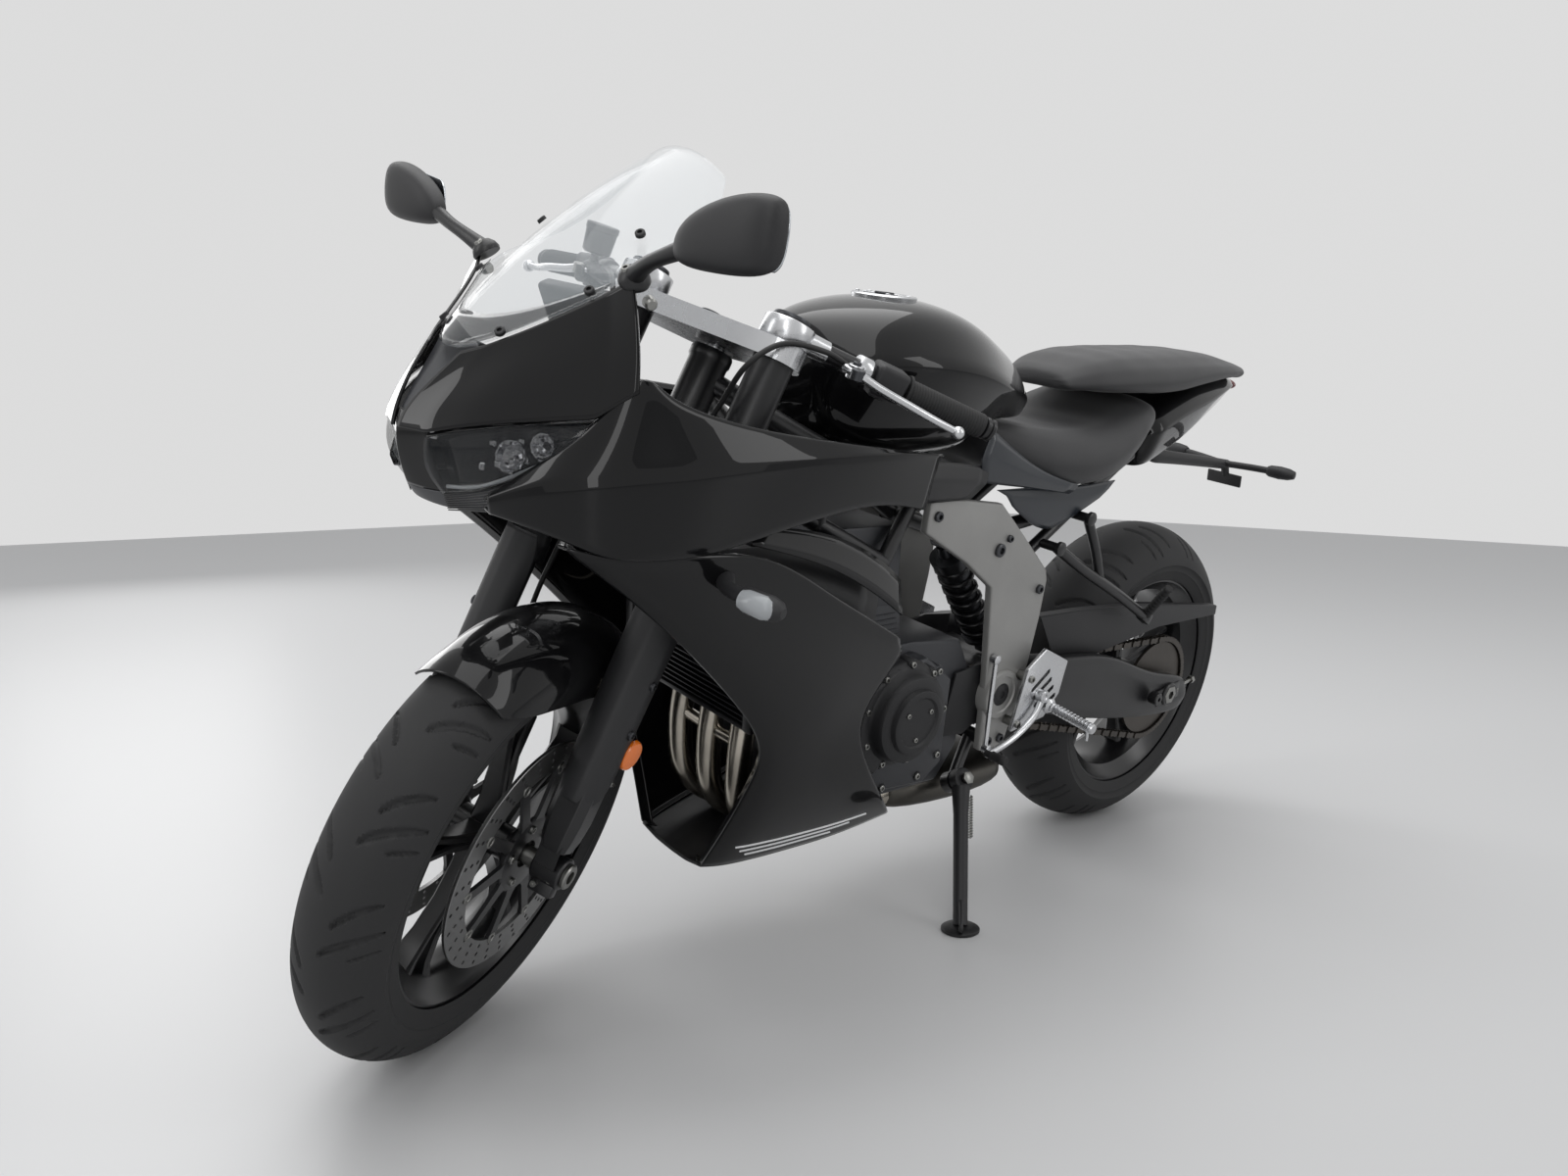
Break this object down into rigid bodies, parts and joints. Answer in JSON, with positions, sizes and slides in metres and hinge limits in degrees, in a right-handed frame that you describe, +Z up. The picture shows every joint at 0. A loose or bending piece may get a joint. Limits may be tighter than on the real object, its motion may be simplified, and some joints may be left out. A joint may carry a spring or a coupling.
{
  "type": "sport bike",
  "caption": "Fully faired two-wheeled sport bike leaning on its side stand with its steering turned to the left stop; wheels, steering and stand move.",
  "frame": {"origin": "on the floor under the middle of the parked bike's outline: the middle of its box in x and y, at the floor", "axes": "+X to the front of the bike, +Y to its rider's left, +Z up from the floor; the bike leans 11.5 degrees to its left on its side stand"},
  "size_m": [2.0107, 0.8231, 1.1569],
  "materials": {
    "black_metal": "satin black powder coat",
    "black_plastic": "moulded matt black",
    "bright_alloy": "satin bright alloy",
    "cast_grey": "satin painted casting",
    "clear_screen": "clear formed screen",
    "dark_steel": "dark coated steel",
    "disc_steel": "ground brake steel",
    "engine_grey": "satin graphite paint",
    "gloss_black": "deep gloss black paint",
    "grip_rubber": "ribbed soft rubber",
    "lamp_lens": "clear lens over dark reflectors",
    "red_lens": "red moulded lens",
    "seat_cover": "fine-grained matt black cover",
    "stainless": "heat-tinted stainless steel",
    "tyre_rubber": "matt moulded rubber"
  },
  "bodies": {
    "frame": {"main_frame": "black_metal", "side_plate_left": "cast_grey", "side_plate_right": "cast_grey", "engine_block": "engine_grey", "engine_cover_left": "engine_grey", "engine_cover_right": "engine_grey", "radiator": "black_plastic", "exhaust_headers": "stainless", "silencer": "black_metal", "nose_cowl": "gloss_black", "chin_cowl": "black_plastic", "headlight_left": "lamp_lens", "headlight_right": "lamp_lens", "windscreen": "clear_screen", "side_fairing_left": "gloss_black", "side_fairing_right": "gloss_black", "belly_pan": "gloss_black", "instrument_panel": "black_plastic", "mirror_left": "black_plastic", "mirror_right": "black_plastic", "front_indicators": "black_plastic", "fuel_tank": "gloss_black", "fuel_cap": "bright_alloy", "rider_seat": "seat_cover", "pillion_seat": "seat_cover", "tail_cowl": "gloss_black", "tail_light": "red_lens", "seat_side_covers": "black_plastic", "rear_subframe": "black_metal", "plate_holder": "black_plastic", "swingarm": "black_metal", "paddock_bosses": "black_metal", "rear_axle": "bright_alloy", "rear_shock": "black_metal", "chain": "dark_steel", "chain_guard": "black_plastic", "rear_caliper": "black_metal", "rider_footrests": "bright_alloy", "foot_controls": "bright_alloy", "pillion_footrests": "black_metal"},
    "steering": {"yokes": "bright_alloy", "fork_left": "black_metal", "fork_right": "black_metal", "handlebars": "bright_alloy", "grips": "grip_rubber", "hand_levers": "bright_alloy", "control_cables": "black_plastic", "front_mudguard": "gloss_black", "front_calipers": "black_metal", "front_axle": "bright_alloy"},
    "front_wheel": {"front_rim": "black_metal", "front_tyre": "tyre_rubber", "front_discs": "disc_steel"},
    "rear_wheel": {"rear_rim": "black_metal", "rear_tyre": "tyre_rubber", "rear_disc": "disc_steel", "rear_sprocket": "dark_steel"},
    "side_stand": {"side_stand": "dark_steel"}
  },
  "joints": [
    {"name": "steering", "type": "hinge", "parent": "frame", "child": "steering", "pos_m": [0.69939, -0.14917, 0.27536], "axis": [-0.3788, 0.1842, 0.9069], "range_deg": [-58, 0]},
    {"name": "front_wheel_spin", "type": "hinge", "parent": "steering", "child": "front_wheel", "pos_m": [0.73098, -0.12801, 0.28426], "axis": [-0.4494, 0.8201, -0.3543], "continuous": true},
    {"name": "rear_wheel_spin", "type": "hinge", "parent": "frame", "child": "rear_wheel", "pos_m": [-0.69039, -0.1432, 0.31058], "axis": [-0.0008, 0.9799, -0.1994], "continuous": true},
    {"name": "side_stand", "type": "hinge", "parent": "frame", "child": "side_stand", "pos_m": [-0.09279, -0.03153, 0.21492], "axis": [0.1148, 0.9178, 0.38], "range_deg": [0, 103]}
  ]
}
